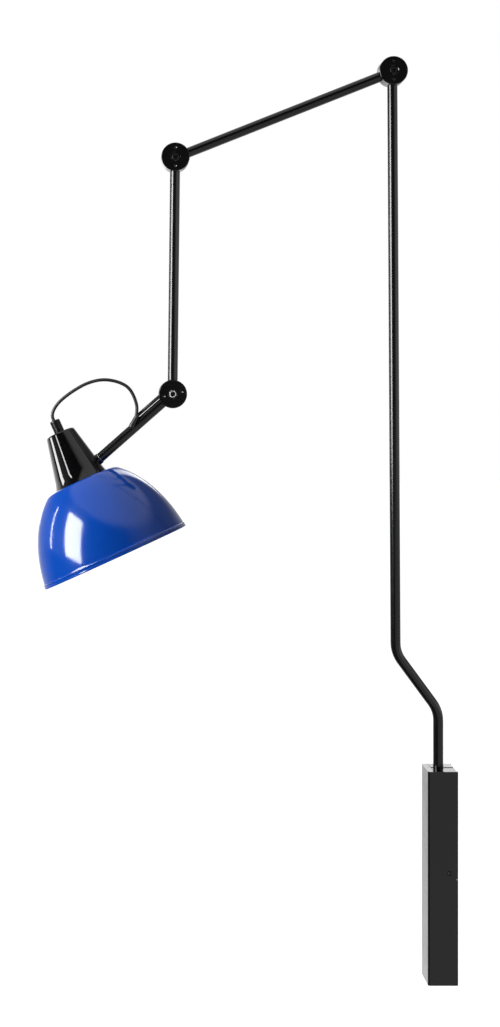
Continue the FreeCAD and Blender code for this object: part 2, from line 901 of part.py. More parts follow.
def lampholder_cover():
    shell = cone_solid()
    top_edge = [edge for edge in shell.Edges if edge.isClosed() and edge.BoundBox.ZMin > cone_height - 0.01]
    shell = shell.makeFillet(cone_top_round, top_edge[:1])
    inner_bottom = cone_bottom_radius - cone_wall
    inner_top = cone_height - cone_wall
    inside = turned_points([(0, -1), (inner_bottom, -1), (inner_bottom, 0),
                            (cone_top_radius - cone_wall, inner_top), (0, inner_top)])
    nipple_hole = rod(point(0, 0, holder_top), point(0, 0, cone_height + 1), nipple_radius)
    shell = shell.cut(inside).cut(nipple_hole)
    shell = on_head(shell)
    start, end = stub_ends()
    return shell.cut(rod(on_head_arm(start - 1, 0, 0), on_head_arm(end, 0, 0), stub_radius))


def dome_at(depth, inset):
    """Radius of the dome at a depth below the top of the shade."""
    height = (dome_centre_depth - depth) / (dome_height - inset)
    return (dome_radius - inset) * math.sqrt(1 - height ** 2)


def crown_corner(depth, inset):
    """Radius and start of the arc that rounds the crown into the dome at a depth."""
    rise = (dome_centre_depth - depth) * ((dome_radius - inset) / (dome_height - inset)) ** 2
    slope = math.atan2(dome_at(depth, inset), rise)
    bend = (depth - inset) / (1 - math.cos(slope))
    return bend, dome_at(depth, inset) - bend * math.sin(slope), slope


def dome_edges(inset, end_depth):
    """Crown corner and dome, from the flat crown down to a depth."""
    start_depth = crown_corner_depth + inset
    bend, flat, slope = crown_corner(start_depth, inset)
    half = slope / 2
    first = point(flat, 0, -inset)
    middle = point(flat + bend * math.sin(half), 0, -inset - bend * (1 - math.cos(half)))
    last = point(dome_at(start_depth, inset), 0, -start_depth)
    steps = 6
    depths = [start_depth + (end_depth - start_depth) * step / steps for step in range(steps + 1)]
    curve = Part.BSplineCurve()
    curve.interpolate([point(dome_at(depth, inset), 0, -depth) for depth in depths])
    return first, [Part.Arc(first, middle, last).toShape(), curve.toShape()]


def shade():
    outer_start, outer = dome_edges(0, rim_flare_start)
    inner_start, inner = dome_edges(shade_sheet, rim_flare_start)
    rim = [point(dome_at(rim_flare_start, 0), 0, -rim_flare_start), point(rim_radius, 0, -rim_flare_end),
           point(rim_radius, 0, -shade_height), point(rim_radius - rim_thickness, 0, -shade_height),
           point(rim_radius - rim_thickness, 0, -rim_flare_end),
           point(dome_at(rim_flare_start, shade_sheet), 0, -rim_flare_start)]
    edges = [Part.makeLine(point(shade_hole_radius, 0, 0), outer_start)] + outer
    edges += [Part.makeLine(a, b) for a, b in zip(rim[:-1], rim[1:])]
    edges += inner[::-1]
    edges.append(Part.makeLine(inner_start, point(shade_hole_radius, 0, -shade_sheet)))
    edges += outline([(shade_hole_radius, -shade_sheet), (shade_hole_radius, 0)])
    return on_head(turned(Part.__sortEdges__(edges)))


def lampholder_body():
    return on_head(turned_points([
        (nipple_radius, holder_top), (holder_radius - holder_chamfer, holder_top),
        (holder_radius, holder_top - holder_chamfer), (holder_radius, holder_flange),
        (holder_flange_radius, holder_flange), (holder_flange_radius, 0), (holder_skirt_radius, 0),
        (holder_skirt_radius, -holder_skirt), (shell_radius, -holder_skirt), (shell_radius, holder_floor),
        (nipple_radius, holder_floor)]))


def lampholder_shell():
    return on_head(pipe(point(0, 0, shell_wall - holder_skirt), point(0, 0, holder_floor), shell_radius,
                        shell_radius - shell_wall))


def shade_ring():
    top = -shade_sheet
    return on_head(pipe(point(0, 0, top - shade_ring_height), point(0, 0, top), shade_ring_radius,
                        holder_skirt_radius))


def threaded_nipple():
    bottom = point(0, 0, nipple_bottom)
    top = point(0, 0, nipple_top)
    return on_head(pipe(bottom, top, nipple_radius, nipple_bore_radius))


def cord_grip():
    top = cone_height + grip_length
    grip = rod(point(0, 0, cone_height), point(0, 0, top), grip_radius)
    top_edge = [edge for edge in grip.Edges if edge.BoundBox.ZMin > top - 0.01 and edge.isClosed()]
    grip = grip.makeFillet(grip_round, top_edge[:1])
    grip = grip.cut(rod(point(0, 0, cone_height - 1), point(0, 0, nipple_top), nipple_radius))
    grip = grip.cut(rod(point(0, 0, nipple_top - 1), point(0, 0, top - grip_mouth), cable_radius))
    mouth = cone(point(0, 0, top - grip_mouth), point(0, 0, top), cable_radius, grip_mouth_radius)
    return on_head(grip.cut(mouth))


def lampholder_lead():
    end = point(0, 0, cone_height + grip_length - grip_mouth)
    return on_head(rod(point(0, 0, lead_bottom), end, cable_radius))


def bulb_section(inset):
    """Neck and globe of the bulb, from the cap down to the tip."""
    ball = bulb_radius - inset
    neck = bulb_neck_radius - inset
    shoulder_rise = bulb_centre_depth - bulb_shoulder
    shoulder_radius = math.sqrt(ball ** 2 - shoulder_rise ** 2)
    top = point(neck, 0, -cap_bottom)
    neck_end = point(neck, 0, -bulb_neck_end)
    bend = point(neck + (shoulder_radius - neck) * bulb_bend_out, 0,
                 -bulb_neck_end - (bulb_shoulder - bulb_neck_end) * bulb_bend_down)
    on_ball = point(shoulder_radius, 0, -bulb_shoulder)
    side = point(ball, 0, -bulb_centre_depth)
    tip = point(0, 0, -bulb_centre_depth - ball)
    edges = [Part.makeLine(top, neck_end), Part.Arc(neck_end, bend, on_ball).toShape(),
             Part.Arc(on_ball, side, tip).toShape()]
    return top, tip, edges


def bulb_globe():
    outer_top, outer_tip, outer = bulb_section(0)
    inner_top, inner_tip, inner = bulb_section(bulb_glass)
    edges = outer + [Part.makeLine(outer_tip, inner_tip)] + inner + [Part.makeLine(inner_top, outer_top)]
    return on_head(turned(Part.__sortEdges__(edges)))


def bulb_cap():
    inside = cap_radius - cap_wall
    return on_head(turned_points([
        (inside, -cap_bottom), (cap_radius, -cap_bottom), (cap_radius, cap_shoulder),
        (cap_button_radius, cap_top), (0, cap_top), (0, cap_top - cap_wall), (cap_button_radius - cap_wall, cap_top - cap_wall),
        (inside, cap_shoulder - cap_wall)]))


def arch_points():
    start = on_head_arm(arch_start[0], arch_start[1], boot_front)
    end = on_head_axis(cone_height + grip_length)
    span = point(end.x - start.x, 0, end.z - start.z)
    up = y_axis.cross(span)
    sideways = y_axis * (end.y - start.y)
    return [start + span * along + up * high + sideways * across for along, high, across in arch_route]


def cable_arch():
    lead_end = on_head_axis(cone_height + grip_length - grip_mouth)
    over_grip = on_head_axis(cone_height + grip_length + arch_rise_from_grip)
    return cable("cable_arch", arch_points() + [over_grip, lead_end])


def joint_hardware(name, centre):
    save(name + "_pivot_screw", pivot_screw(centre))
    save(name + "_spring_washer", joint_spring_washer(centre))
    save(name + "_friction_washer", joint_friction_washer(centre))
    save(name + "_nut", joint_nut(centre))


def main():
    os.makedirs("parts", exist_ok=True)
    save("wall_bracket", wall_bracket())
    save("box_cover", box_cover())
    save("cover_screws", cover_screws())
    save("upper_bearing_block", bearing_block(upper_block_top))
    save("lower_bearing_block", lower_bearing_block())
    save("bearing_block_screws", Part.makeCompound(block_screw_solids()))
    save("upper_bush", bush(upper_block_top))
    save("lower_bush", bush(lower_block_top))
    save("swivel_stop_pin", swivel_stop_pin())
    save("entry_grommet", entry_grommet())
    save("terminal_block", terminal_block())
    save("terminal_screws", terminal_screws())
    save("box_cable_tail", box_cable_tail())
    save("post_tube", post_tube())
    save("post_collar", post_collar())
    save("collar_set_screw", collar_set_screw())
    save("post_cable", post_cable())
    save("shoulder_front_half", joint_half(shoulder, front, post_angle, post_angle))
    save("shoulder_back_half", joint_half(shoulder, back, upper_arm_angle, upper_arm_angle))
    joint_hardware("shoulder", shoulder)
    save("shoulder_cable_loop", shoulder_cable_loop())
    save("upper_arm_tube", arm_tube(shoulder, back, elbow, back))
    save("upper_arm_cable", upper_arm_cable())
    save("elbow_back_half", joint_half(elbow, back, upper_arm_angle + 180.0, upper_arm_angle))
    save("elbow_front_half", joint_half(elbow, front, lower_arm_angle, lower_arm_angle))
    joint_hardware("elbow", elbow)
    save("elbow_cable_loop", elbow_cable_loop())
    save("lower_arm_tube", arm_tube(elbow, front, wrist, back))
    save("lower_arm_cable", lower_arm_cable())
    save("wrist_back_half", joint_half(wrist, back, lower_arm_angle - 180.0, lower_arm_angle))
    save("wrist_front_half", wrist_front_half())
    joint_hardware("wrist", wrist)
    save("wrist_cable_loop", wrist_cable_loop())
    save("head_arm_tube", head_arm_tube())
    save("head_arm_cable", head_arm_cable())
    save("cable_boot", cable_boot())
    save("tube_insert", tube_insert())
    save("swivel_ring", swivel_ring_piece())
    save("swivel_bolt", swivel_bolt())
    save("swivel_stub", swivel_stub())
    save("lampholder_cover", lampholder_cover())
    save("threaded_nipple", threaded_nipple())
    save("cord_grip", cord_grip())
    save("lampholder_lead", lampholder_lead())
    save("lampholder_body", lampholder_body())
    save("lampholder_shell", lampholder_shell())
    save("shade_ring", shade_ring())
    save("shade", shade())
    save("bulb_cap", bulb_cap())
    save("bulb_globe", bulb_globe())
    save("cable_arch", cable_arch())
    print("shoulder", shoulder, "elbow", elbow, "wrist", wrist)
    print("head point", head_point, "crown", crown)


main()
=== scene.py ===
import math

import bmesh
import bpy
from mathutils import Matrix, Vector


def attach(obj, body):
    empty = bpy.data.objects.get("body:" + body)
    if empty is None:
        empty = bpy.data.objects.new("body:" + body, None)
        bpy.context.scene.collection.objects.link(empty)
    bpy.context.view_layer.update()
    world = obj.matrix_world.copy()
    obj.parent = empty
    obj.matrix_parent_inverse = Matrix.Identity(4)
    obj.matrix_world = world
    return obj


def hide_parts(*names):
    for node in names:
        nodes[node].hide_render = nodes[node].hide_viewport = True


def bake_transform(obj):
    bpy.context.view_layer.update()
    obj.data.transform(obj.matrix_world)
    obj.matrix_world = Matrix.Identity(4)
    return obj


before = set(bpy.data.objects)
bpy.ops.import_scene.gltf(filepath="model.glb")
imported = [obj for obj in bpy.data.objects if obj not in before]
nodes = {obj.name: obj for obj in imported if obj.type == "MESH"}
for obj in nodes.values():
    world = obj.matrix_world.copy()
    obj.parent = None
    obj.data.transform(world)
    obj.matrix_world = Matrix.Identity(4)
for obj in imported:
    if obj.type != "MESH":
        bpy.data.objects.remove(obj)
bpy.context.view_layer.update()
scene = bpy.context.scene
mm = 0.001
print("frame loaded, nodes:", len(nodes))

# Camera: stands in front of the lamp, level with the head, and looks straight at the arm's plane
cameraSet = {"place": (-0.4073, -1.6, 0.5874), "lens": 46.73, "shift": (0.131, -0.126), "nearest": 0.05}

cameraData = bpy.data.cameras.new("camera")
cameraData.lens = cameraSet["lens"]
cameraData.shift_x, cameraData.shift_y = cameraSet["shift"]
cameraData.clip_start = cameraSet["nearest"]
camera = bpy.data.objects.new("camera", cameraData)
camera.location = cameraSet["place"]
camera.rotation_euler = (math.radians(90), 0, 0)
scene.collection.objects.link(camera)
scene.camera = camera
print("camera set")

# Where the head hangs in the lamp, in metres and degrees
lamp = {
    "wrist": Vector((-0.3388027, 0, 0.5754692)),
    "armAngle": 221.4,          # head arm, counted from +X towards +Z
    "armReach": 149.1 * mm,     # along the head arm to the head's own axis
    "crownBelow": 7.1 * mm,     # from there down that axis to the shade's crown
    "tilt": 24.6,               # head's own axis from upright
    "roll": 6.5,                # head turned about the head arm
}


def armDirection(angle):
    # in the arm's plane
    turn = math.radians(angle)
    return Vector((math.cos(turn), 0, math.sin(turn)))


def headPlace():
    # from the head's own axis, crown at z 0, to its place in the lamp
    wrist = lamp["wrist"]
    along = armDirection(lamp["armAngle"])
    up = armDirection(90 + lamp["tilt"])
    crown = wrist + along * lamp["armReach"] - up * lamp["crownBelow"]
    aboutArm = Matrix.Rotation(math.radians(lamp["roll"]), 4, along)
    roll = Matrix.Translation(wrist) @ aboutArm @ Matrix.Translation(-wrist)
    return roll @ Matrix.Translation(crown) @ Matrix.Rotation(math.radians(-lamp["tilt"]), 4, "Y")


headMatrix = headPlace()


# Mesh helpers

def meshPiece(name, verts, faces, smooth=True):
    mesh = bpy.data.meshes.new(name)
    mesh.from_pydata(verts, [], faces)
    mesh.validate()
    for polygon in mesh.polygons:
        polygon.use_smooth = smooth
    piece = bpy.data.objects.new(name, mesh)
    scene.collection.objects.link(piece)
    return piece


def outward(piece):
    bm = bmesh.new()
    bm.from_mesh(piece.data)
    bmesh.ops.recalc_face_normals(bm, faces=bm.faces)
    bm.to_mesh(piece.data)
    bm.free()


def sharpen(piece, degrees):
    # hard shading where two faces meet at more than this angle
    bm = bmesh.new()
    bm.from_mesh(piece.data)
    for edge in bm.edges:
        if len(edge.link_faces) == 2 and edge.calc_face_angle(0) > math.radians(degrees):
            edge.smooth = False
    bm.to_mesh(piece.data)
    bm.free()


def lathe(name, profile, turns, matrix):
    # closed ring of (radius, height) in mm turned about the axis of the matrix
    verts = []
    for step in range(turns):
        angle = 2 * math.pi * step / turns
        for radius, height in profile:
            spot = Vector((radius * math.cos(angle) * mm, radius * math.sin(angle) * mm, height * mm))
            verts.append(matrix @ spot)
    count = len(profile)
    faces = []
    for step in range(turns):
        here = step * count
        there = (step + 1) % turns * count
        for index in range(count):
            after = (index + 1) % count
            faces.append((here + index, there + index, there + after, here + after))
    piece = meshPiece(name, verts, faces)
    outward(piece)
    return piece


def arcPoints(centre, radius, fromAngle, toAngle, steps):
    points = []
    for step in range(steps + 1):
        turn = math.radians(fromAngle + (toAngle - fromAngle) * step / steps)
        points.append((centre[0] + radius * math.cos(turn), centre[1] + radius * math.sin(turn)))
    return points


def splineLine(name, points, smoothness):
    # the smooth line of a NURBS route, as Blender gives it
    curve = bpy.data.curves.new(name, "CURVE")
    curve.dimensions = "3D"
    curve.resolution_u = smoothness
    spline = curve.splines.new("NURBS")
    spline.points.add(len(points) - 1)
    for knot, spot in zip(spline.points, points):
        knot.co = (*spot, 1)
    spline.order_u = 3
    spline.use_endpoint_u = True
    carrier = bpy.data.objects.new(name, curve)
    scene.collection.objects.link(carrier)
    depsgraph = bpy.context.evaluated_depsgraph_get()
    mesh = bpy.data.meshes.new_from_object(carrier.evaluated_get(depsgraph))
    line = [vertex.co.copy() for vertex in mesh.vertices]
    bpy.data.meshes.remove(mesh)
    bpy.data.objects.remove(carrier)
    bpy.data.curves.remove(curve)
    return line


def tubeAlong(name, line, radius, sides):
    # round tube with flat ends, whose rings turn with the line without twist
    ahead = (line[1] - line[0]).normalized()
    across = ahead.orthogonal().normalized()
    verts = []
    faces = []
    for index, spot in enumerate(line):
        before = line[max(index - 1, 0)]
        after = line[min(index + 1, len(line) - 1)]
        direction = (after - before).normalized()
        across = (across - direction * across.dot(direction)).normalized()
        side = direction.cross(across)
        for step in range(sides):
            turn = 2 * math.pi * step / sides
            verts.append(spot + (across * math.cos(turn) + side * math.sin(turn)) * radius)
    for index in range(len(line) - 1):
        for step in range(sides):
            after = (step + 1) % sides
            low = index * sides
            faces.append((low + step, low + after, low + sides + after, low + sides + step))
    faces.append(tuple(reversed(range(sides))))
    faces.append(tuple(range(len(verts) - sides, len(verts))))
    piece = meshPiece(name, verts, faces)
    outward(piece)
    return piece


# Free cable from the boot on the head arm over to the cord grip
cableArch = {
    "diameter": 4 * mm,
    "length": 0.165,
    "sides": 20,
    "smoothness": 14,       # rings from one point of the route to the next
    "sharpFrom": 60,        # degrees, for the edges of the two ends
    "route": [
        (-0.383361, -0.004400, 0.545958),
        (-0.380528, -0.004400, 0.556209),
        (-0.384000, -0.004214, 0.570900),
        (-0.391400, -0.003286, 0.583900),
        (-0.404800, -0.001677, 0.590700),
        (-0.422637, 0.000427, 0.593400),
        (-0.440989, 0.002778, 0.589011),
        (-0.457342, 0.005006, 0.579887),
        (-0.470907, 0.006739, 0.569887),
        (-0.478600, 0.007605, 0.561900),
        (-0.483100, 0.007976, 0.553741),
        (-0.483600, 0.008139, 0.545400),
        (-0.477685, 0.007109, 0.536211),
    ],
}


def buildCableArch():
    line = splineLine("archRoute", cableArch["route"], cableArch["smoothness"])
    arch = tubeAlong("cableArch", line, cableArch["diameter"] / 2, cableArch["sides"])
    sharpen(arch, cableArch["sharpFrom"])
    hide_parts("cable_arch")
    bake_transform(arch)
    return arch


archPiece = buildCableArch()
print("cable arch built")


# Shader helpers

def node(tree, kind, place, **values):
    made = tree.nodes.new(kind)
    made.location = place
    for key, value in values.items():
        setattr(made, key, value)
    return made


def noise(tree, coords, scale, detail, place, roughness=0.5):
    made = node(tree, "ShaderNodeTexNoise", place)
    made.inputs["Scale"].default_value = scale
    made.inputs["Detail"].default_value = detail
    made.inputs["Roughness"].default_value = roughness
    tree.links.new(coords, made.inputs["Vector"])
    return made.outputs["Fac"]


def remap(tree, value, low, high, toLow, toHigh, place):
    made = node(tree, "ShaderNodeMapRange", place)
    for key, number in (("From Min", low), ("From Max", high), ("To Min", toLow), ("To Max", toHigh)):
        made.inputs[key].default_value = number
    tree.links.new(value, made.inputs["Value"])
    return made.outputs["Result"]


def blendColours(tree, share, first, second, place):
    made = node(tree, "ShaderNodeMix", place, data_type="RGBA")
    for socket, value in ((made.inputs[6], first), (made.inputs[7], second)):
        if isinstance(value, tuple):
            socket.default_value = (*value, 1)
        else:
            tree.links.new(value, socket)
    tree.links.new(share, made.inputs[0])
    return made.outputs[2]


def blendNumbers(tree, share, first, second, place):
    made = node(tree, "ShaderNodeMix", place, data_type="FLOAT")
    for socket, value in ((made.inputs[0], share), (made.inputs[2], first), (made.inputs[3], second)):
        if isinstance(value, (int, float)):
            socket.default_value = value
        else:
            tree.links.new(value, socket)
    return made.outputs[0]


def maths(tree, operation, first, second, place):
    made = node(tree, "ShaderNodeMath", place, operation=operation)
    for socket, value in ((made.inputs[0], first), (made.inputs[1], second)):
        if isinstance(value, (int, float)):
            socket.default_value = value
        else:
            tree.links.new(value, socket)
    return made.outputs[0]


def distance(tree, across, along, place):
    # how far off a spot is, from its two offsets
    x, y = place
    acrossSquare = maths(tree, "POWER", across, 2, (x, y + 80))
    alongSquare = maths(tree, "POWER", along, 2, (x, y - 80))
    total = maths(tree, "ADD", acrossSquare, alongSquare, (x + 200, y))
    root = node(tree, "ShaderNodeMath", (x + 400, y), operation="SQRT")
    tree.links.new(total, root.inputs[0])
    return root.outputs[0]


def compassLevel(tree, across, along, levels, place):
    # brightness by compass angle round the lamp, as a ramp from 0 to the brightest of the levels
    x, y = place
    top = max(bright for compass, bright in levels)
    left = maths(tree, "MULTIPLY", across, -1, (x, y + 80))
    front = maths(tree, "MULTIPLY", along, -1, (x, y - 80))
    angle = maths(tree, "ARCTAN2", left, front, (x + 200, y))
    turn = remap(tree, angle, -math.pi, math.pi, 0, 1, (x + 400, y))
    ramp = node(tree, "ShaderNodeValToRGB", (x + 600, y))
    stops = ramp.color_ramp.elements
    for index, (compass, bright) in enumerate(levels):
        spot = (compass + 180) / 360
        if index == 0:
            stop = stops[0]
        elif index < len(levels) - 1:
            stop = stops.new(spot)
        else:
            stop = stops[-1]
        stop.position = spot
        stop.color = (bright / top, bright / top, bright / top, 1)
    tree.links.new(turn, ramp.inputs[0])
    return maths(tree, "MULTIPLY", ramp.outputs["Color"], top, (x + 900, y))


def mirrorRays(tree, rays, place):
    # 1 for what gloss and glass see
    return maths(tree, "MAXIMUM", rays.outputs["Is Glossy Ray"], rays.outputs["Is Transmission Ray"], place)


# Finishes: each one has a colour that drifts between two, fine specks, a roughness that drifts and a grain.
# A finish may have its own value for anything in finishSet. Scales count the marks in a metre. grainDepth,
# waveDepth and the sizes of the painted socket shade are in mm, milkyDepth is in metres
finishSet = {
    "metal": 0, "ior": 1.5, "milky": 0, "milkyDepth": 0.002,
    "driftScale": 14, "driftDetail": 4, "driftFrom": 0.35, "driftTo": 0.65,
    "speck": 0.25, "speckScale": 900, "speckDetail": 2, "speckFrom": 0.7, "speckTo": 0.76,
    "speckColour": (0.35, 0.35, 0.36),
    "smearScale": 40, "smearDetail": 5, "smearRough": 0.6, "smearFrom": 0.3, "smearTo": 0.7,
    "grainDetail": 2, "waveDetail": 1, "socketShadeEdge": 0.25,
}


def makeFinish(name, ownLook):
    look = {**finishSet, **ownLook}
    material = bpy.data.materials.new(name)
    material.use_nodes = True
    tree = material.node_tree
    shader = tree.nodes["Principled BSDF"]
    coords = node(tree, "ShaderNodeTexCoord", (-1400, 0)).outputs["Object"]
    shader.inputs["Metallic"].default_value = look["metal"]
    shader.inputs["IOR"].default_value = look["ior"]
    shader.inputs["Subsurface Weight"].default_value = look["milky"]
    shader.inputs["Subsurface Scale"].default_value = look["milkyDepth"]
    # colour drift
    drift = noise(tree, coords, look["driftScale"], look["driftDetail"], (-1150, 300))
    share = remap(tree, drift, look["driftFrom"], look["driftTo"], 0, 1, (-950, 300))
    colour = blendColours(tree, share, look["colour"], look["colour2"], (-700, 300))
    # fine specks, such as dust in the finish
    speck = noise(tree, coords, look["speckScale"], look["speckDetail"], (-1150, 600))
    speckShare = remap(tree, speck, look["speckFrom"], look["speckTo"], 0, look["speck"], (-950, 600))
    colour = blendColours(tree, speckShare, colour, look["speckColour"], (-480, 400))
    if "socketMiddle" in look:
        # painted shade and painted shine on a screw head: dark in its socket where shade falls, near white
        # round it for the bare metal's shine
        place = node(tree, "ShaderNodeSeparateXYZ", (-1150, 900))
        tree.links.new(coords, place.inputs[0])
        across = maths(tree, "SUBTRACT", place.outputs["X"], look["socketMiddle"][0] * mm, (-950, 950))
        upward = maths(tree, "SUBTRACT", place.outputs["Z"], look["socketMiddle"][1] * mm, (-950, 850))
        far = distance(tree, across, upward, (-750, 900))
        socketShadeFrom = (look["socketShadeRadius"] - look["socketShadeEdge"]) * mm
        band = remap(tree, far, socketShadeFrom, look["socketShadeRadius"] * mm, 0, 1, (-150, 900))
        colour = blendColours(tree, band, colour, look["paintedShineColour"], (0, 700))
    tree.links.new(colour, shader.inputs["Base Color"])
    # roughness drift, and faint wipe marks
    smear = noise(tree, coords, look["smearScale"], look["smearDetail"], (-1150, 0), look["smearRough"])
    smooth, dull = look["rough"]
    rough = remap(tree, smear, look["smearFrom"], look["smearTo"], smooth, dull, (-950, 0))
    tree.links.new(rough, shader.inputs["Roughness"])
    # surface
    bump = node(tree, "ShaderNodeBump", (-480, -300))
    bump.inputs["Strength"].default_value = 1.0
    bump.inputs["Distance"].default_value = look["grainDepth"] * mm
    grain = noise(tree, coords, look["grainScale"], look["grainDetail"], (-1150, -300))
    tree.links.new(grain, bump.inputs["Height"])
    tree.links.new(bump.outputs["Normal"], shader.inputs["Normal"])
    if "waveDepth" in look:
        # slow waves under the gloss
        wave = node(tree, "ShaderNodeBump", (-260, -300))
        wave.inputs["Strength"].default_value = 1.0
        wave.inputs["Distance"].default_value = look["waveDepth"] * mm
        height = noise(tree, coords, look["waveScale"], look["waveDetail"], (-1150, -600))
        tree.links.new(height, wave.inputs["Height"])
        tree.links.new(bump.outputs["Normal"], wave.inputs["Normal"])
        tree.links.new(wave.outputs["Normal"], shader.inputs["Normal"])
    return material


finishLooks = {
    "black_powder_coat": {
        "colour": (0.0035, 0.0035, 0.004), "colour2": (0.005, 0.005, 0.0055), "rough": (0.17, 0.24),
        "grainScale": 3000, "grainDepth": 0.0008, "driftScale": 9, "speck": 0.02},
    "black_joint_enamel": {
        "colour": (0.003, 0.003, 0.0035), "colour2": (0.0045, 0.0045, 0.0045), "rough": (0.14, 0.22),
        "grainScale": 3200, "grainDepth": 0.0008, "driftScale": 30, "speck": 0.02},
    "black_screw": {
        "colour": (0.02, 0.02, 0.022), "colour2": (0.035, 0.034, 0.036), "rough": (0.25, 0.4), "metal": 0.6,
        "grainScale": 1500, "grainDepth": 0.01, "driftScale": 120},
    "zinc_screw": {
        "colour": (0.60, 0.60, 0.62), "colour2": (0.50, 0.51, 0.55), "rough": (0.22, 0.38), "metal": 1,
        "grainScale": 1400, "grainDepth": 0.01, "driftScale": 150},
    "zinc_sheet": {
        "colour": (0.56, 0.57, 0.58), "colour2": (0.44, 0.46, 0.49), "rough": (0.3, 0.5), "metal": 1,
        "grainScale": 500, "grainDepth": 0.02, "driftScale": 60},
    "bearing_block_casting": {
        "colour": (0.30, 0.31, 0.32), "colour2": (0.22, 0.23, 0.24), "rough": (0.5, 0.7), "metal": 0.8,
        "grainScale": 700, "grainDepth": 0.06, "driftScale": 50},
    "bush_plastic": {
        "colour": (0.70, 0.69, 0.64), "colour2": (0.62, 0.60, 0.55), "rough": (0.4, 0.55),
        "grainScale": 900, "grainDepth": 0.01, "driftScale": 60},
    "bright_ring": {
        "colour": (0.34, 0.34, 0.35), "colour2": (0.27, 0.27, 0.28), "rough": (0.32, 0.42), "metal": 1,
        "grainScale": 1600, "grainDepth": 0.006, "driftScale": 120},
    "cable_sheath": {
        "colour": (0.008, 0.008, 0.009), "colour2": (0.012, 0.012, 0.013), "rough": (0.35, 0.45),
        "grainScale": 1300, "grainDepth": 0.008, "driftScale": 40},
    "black_rubber": {
        "colour": (0.008, 0.008, 0.008), "colour2": (0.014, 0.014, 0.014), "rough": (0.3, 0.42),
        "grainScale": 1200, "grainDepth": 0.01, "driftScale": 60},
    "black_plastic": {
        "colour": (0.005, 0.005, 0.006), "colour2": (0.008, 0.008, 0.009), "rough": (0.2, 0.3),
        "grainScale": 1200, "grainDepth": 0.006, "driftScale": 60},
    "terminal_plastic": {
        "colour": (0.62, 0.60, 0.54), "colour2": (0.70, 0.68, 0.62), "rough": (0.4, 0.55),
        "grainScale": 900, "grainDepth": 0.02, "driftScale": 60},
    "black_gloss_paint": {
        "colour": (0.003, 0.003, 0.0035), "colour2": (0.004, 0.004, 0.0045), "rough": (0.04, 0.08),
        "grainScale": 260, "grainDepth": 0.006, "driftScale": 20,
        "waveScale": 60, "waveDepth": 0.02},
    "blue_gloss_paint": {
        "colour": (0.004, 0.088, 0.57), "colour2": (0.003, 0.082, 0.54), "rough": (0.10, 0.14),
        "grainScale": 260, "grainDepth": 0.004, "driftScale": 10, "speck": 0.05,
        "waveScale": 90, "waveDepth": 0.04},
    "brass_shell": {
        "colour": (0.78, 0.58, 0.26), "colour2": (0.62, 0.44, 0.18), "rough": (0.25, 0.4), "metal": 1,
        "grainScale": 1200, "grainDepth": 0.01, "driftScale": 80},
    "cap_metal": {
        "colour": (0.72, 0.72, 0.70), "colour2": (0.62, 0.62, 0.61), "rough": (0.25, 0.35), "metal": 1,
        "grainScale": 1200, "grainDepth": 0.01, "driftScale": 90},
    "opal_glass": {
        "colour": (0.86, 0.86, 0.84), "colour2": (0.80, 0.80, 0.79), "rough": (0.08, 0.14), "milky": 0.3,
        "grainScale": 200, "grainDepth": 0.004, "driftScale": 30},
}
finishes = {slotName: makeFinish(slotName + "Finish", look) for slotName, look in finishLooks.items()}

# two more: the paint inside the shade, and the wrist's screw with a painted socket shade and painted shine
# (in mm, from the lamp's origin)
insideWhite = makeFinish("insideWhiteFinish", {
    "colour": (0.80, 0.80, 0.78), "colour2": (0.76, 0.76, 0.74), "rough": (0.25, 0.4),
    "grainScale": 300, "grainDepth": 0.01, "driftScale": 14})
screwPaintedShade = makeFinish("wornScrewFinish", {
    "colour": (0.006, 0.006, 0.006), "colour2": (0.010, 0.010, 0.010), "rough": (0.40, 0.50),
    "grainScale": 1500, "grainDepth": 0.002, "driftScale": 120,
    "socketMiddle": (-338.8027, 575.4692), "socketShadeRadius": 3.1, "paintedShineColour": (0.92, 0.92, 0.92)})
print("finishes made:", len(finishes) + 2)


def dressNodes():
    # each piece of the frame gets the finish of its slot
    for name, thing in nodes.items():
        for holder in thing.material_slots:
            slotName = holder.material.name.split(".")[0]
            if slotName in finishes:
                holder.material = finishes[slotName]
            else:
                print("no finish for", name, slotName)
    # the wrist's screw gets painted shade in its socket and a painted shine round it
    for holder in nodes["wrist_pivot_screw"].material_slots:
        holder.material = screwPaintedShade


dressNodes()
archPiece.data.materials.append(finishes["cable_sheath"])
print("pieces dressed")


# Shade: spun dome with a flat crown, then a small ledge, a rounded bead, a straight band and a rolled foot
shadeSet = {
    # radii and depths below the crown, in mm
    "hole": 19.7, "sheet": 1.2, "cornerDepth": 3.0, "height": 99.5,
    "domeRadius": 92.0, "domeHeight": 132.3, "domeCentre": 116.0,
    "stepStart": 93.4, "stepEnd": 94.6, "rimRadius": 91.9, "rimThick": 1.6,
    # the rim's parts, in from the rim's radius or down from its step
    "ledgeIn": 1.05, "ledgeDrop": 0.45, "beadIn": 0.45, "beadRadius": 0.5,
    "bandIn": 0.25, "bandDrop": 0.75, "bandAboveFoot": 1.9, "footRise": 1.3, "liningDrop": 0.6,
    # steps of the mesh, and the angle from which an edge is sharp
    "turns": 240, "flatSteps": 4, "cornerSteps": 14, "domeSteps": 48, "beadSteps": 5, "footSteps": 8,
    "sharpFrom": 32,
}


def domeRadius(depth, inset):
    height = (shadeSet["domeCentre"] - depth) / (shadeSet["domeHeight"] - inset)
    return (shadeSet["domeRadius"] - inset) * math.sqrt(1 - height ** 2)


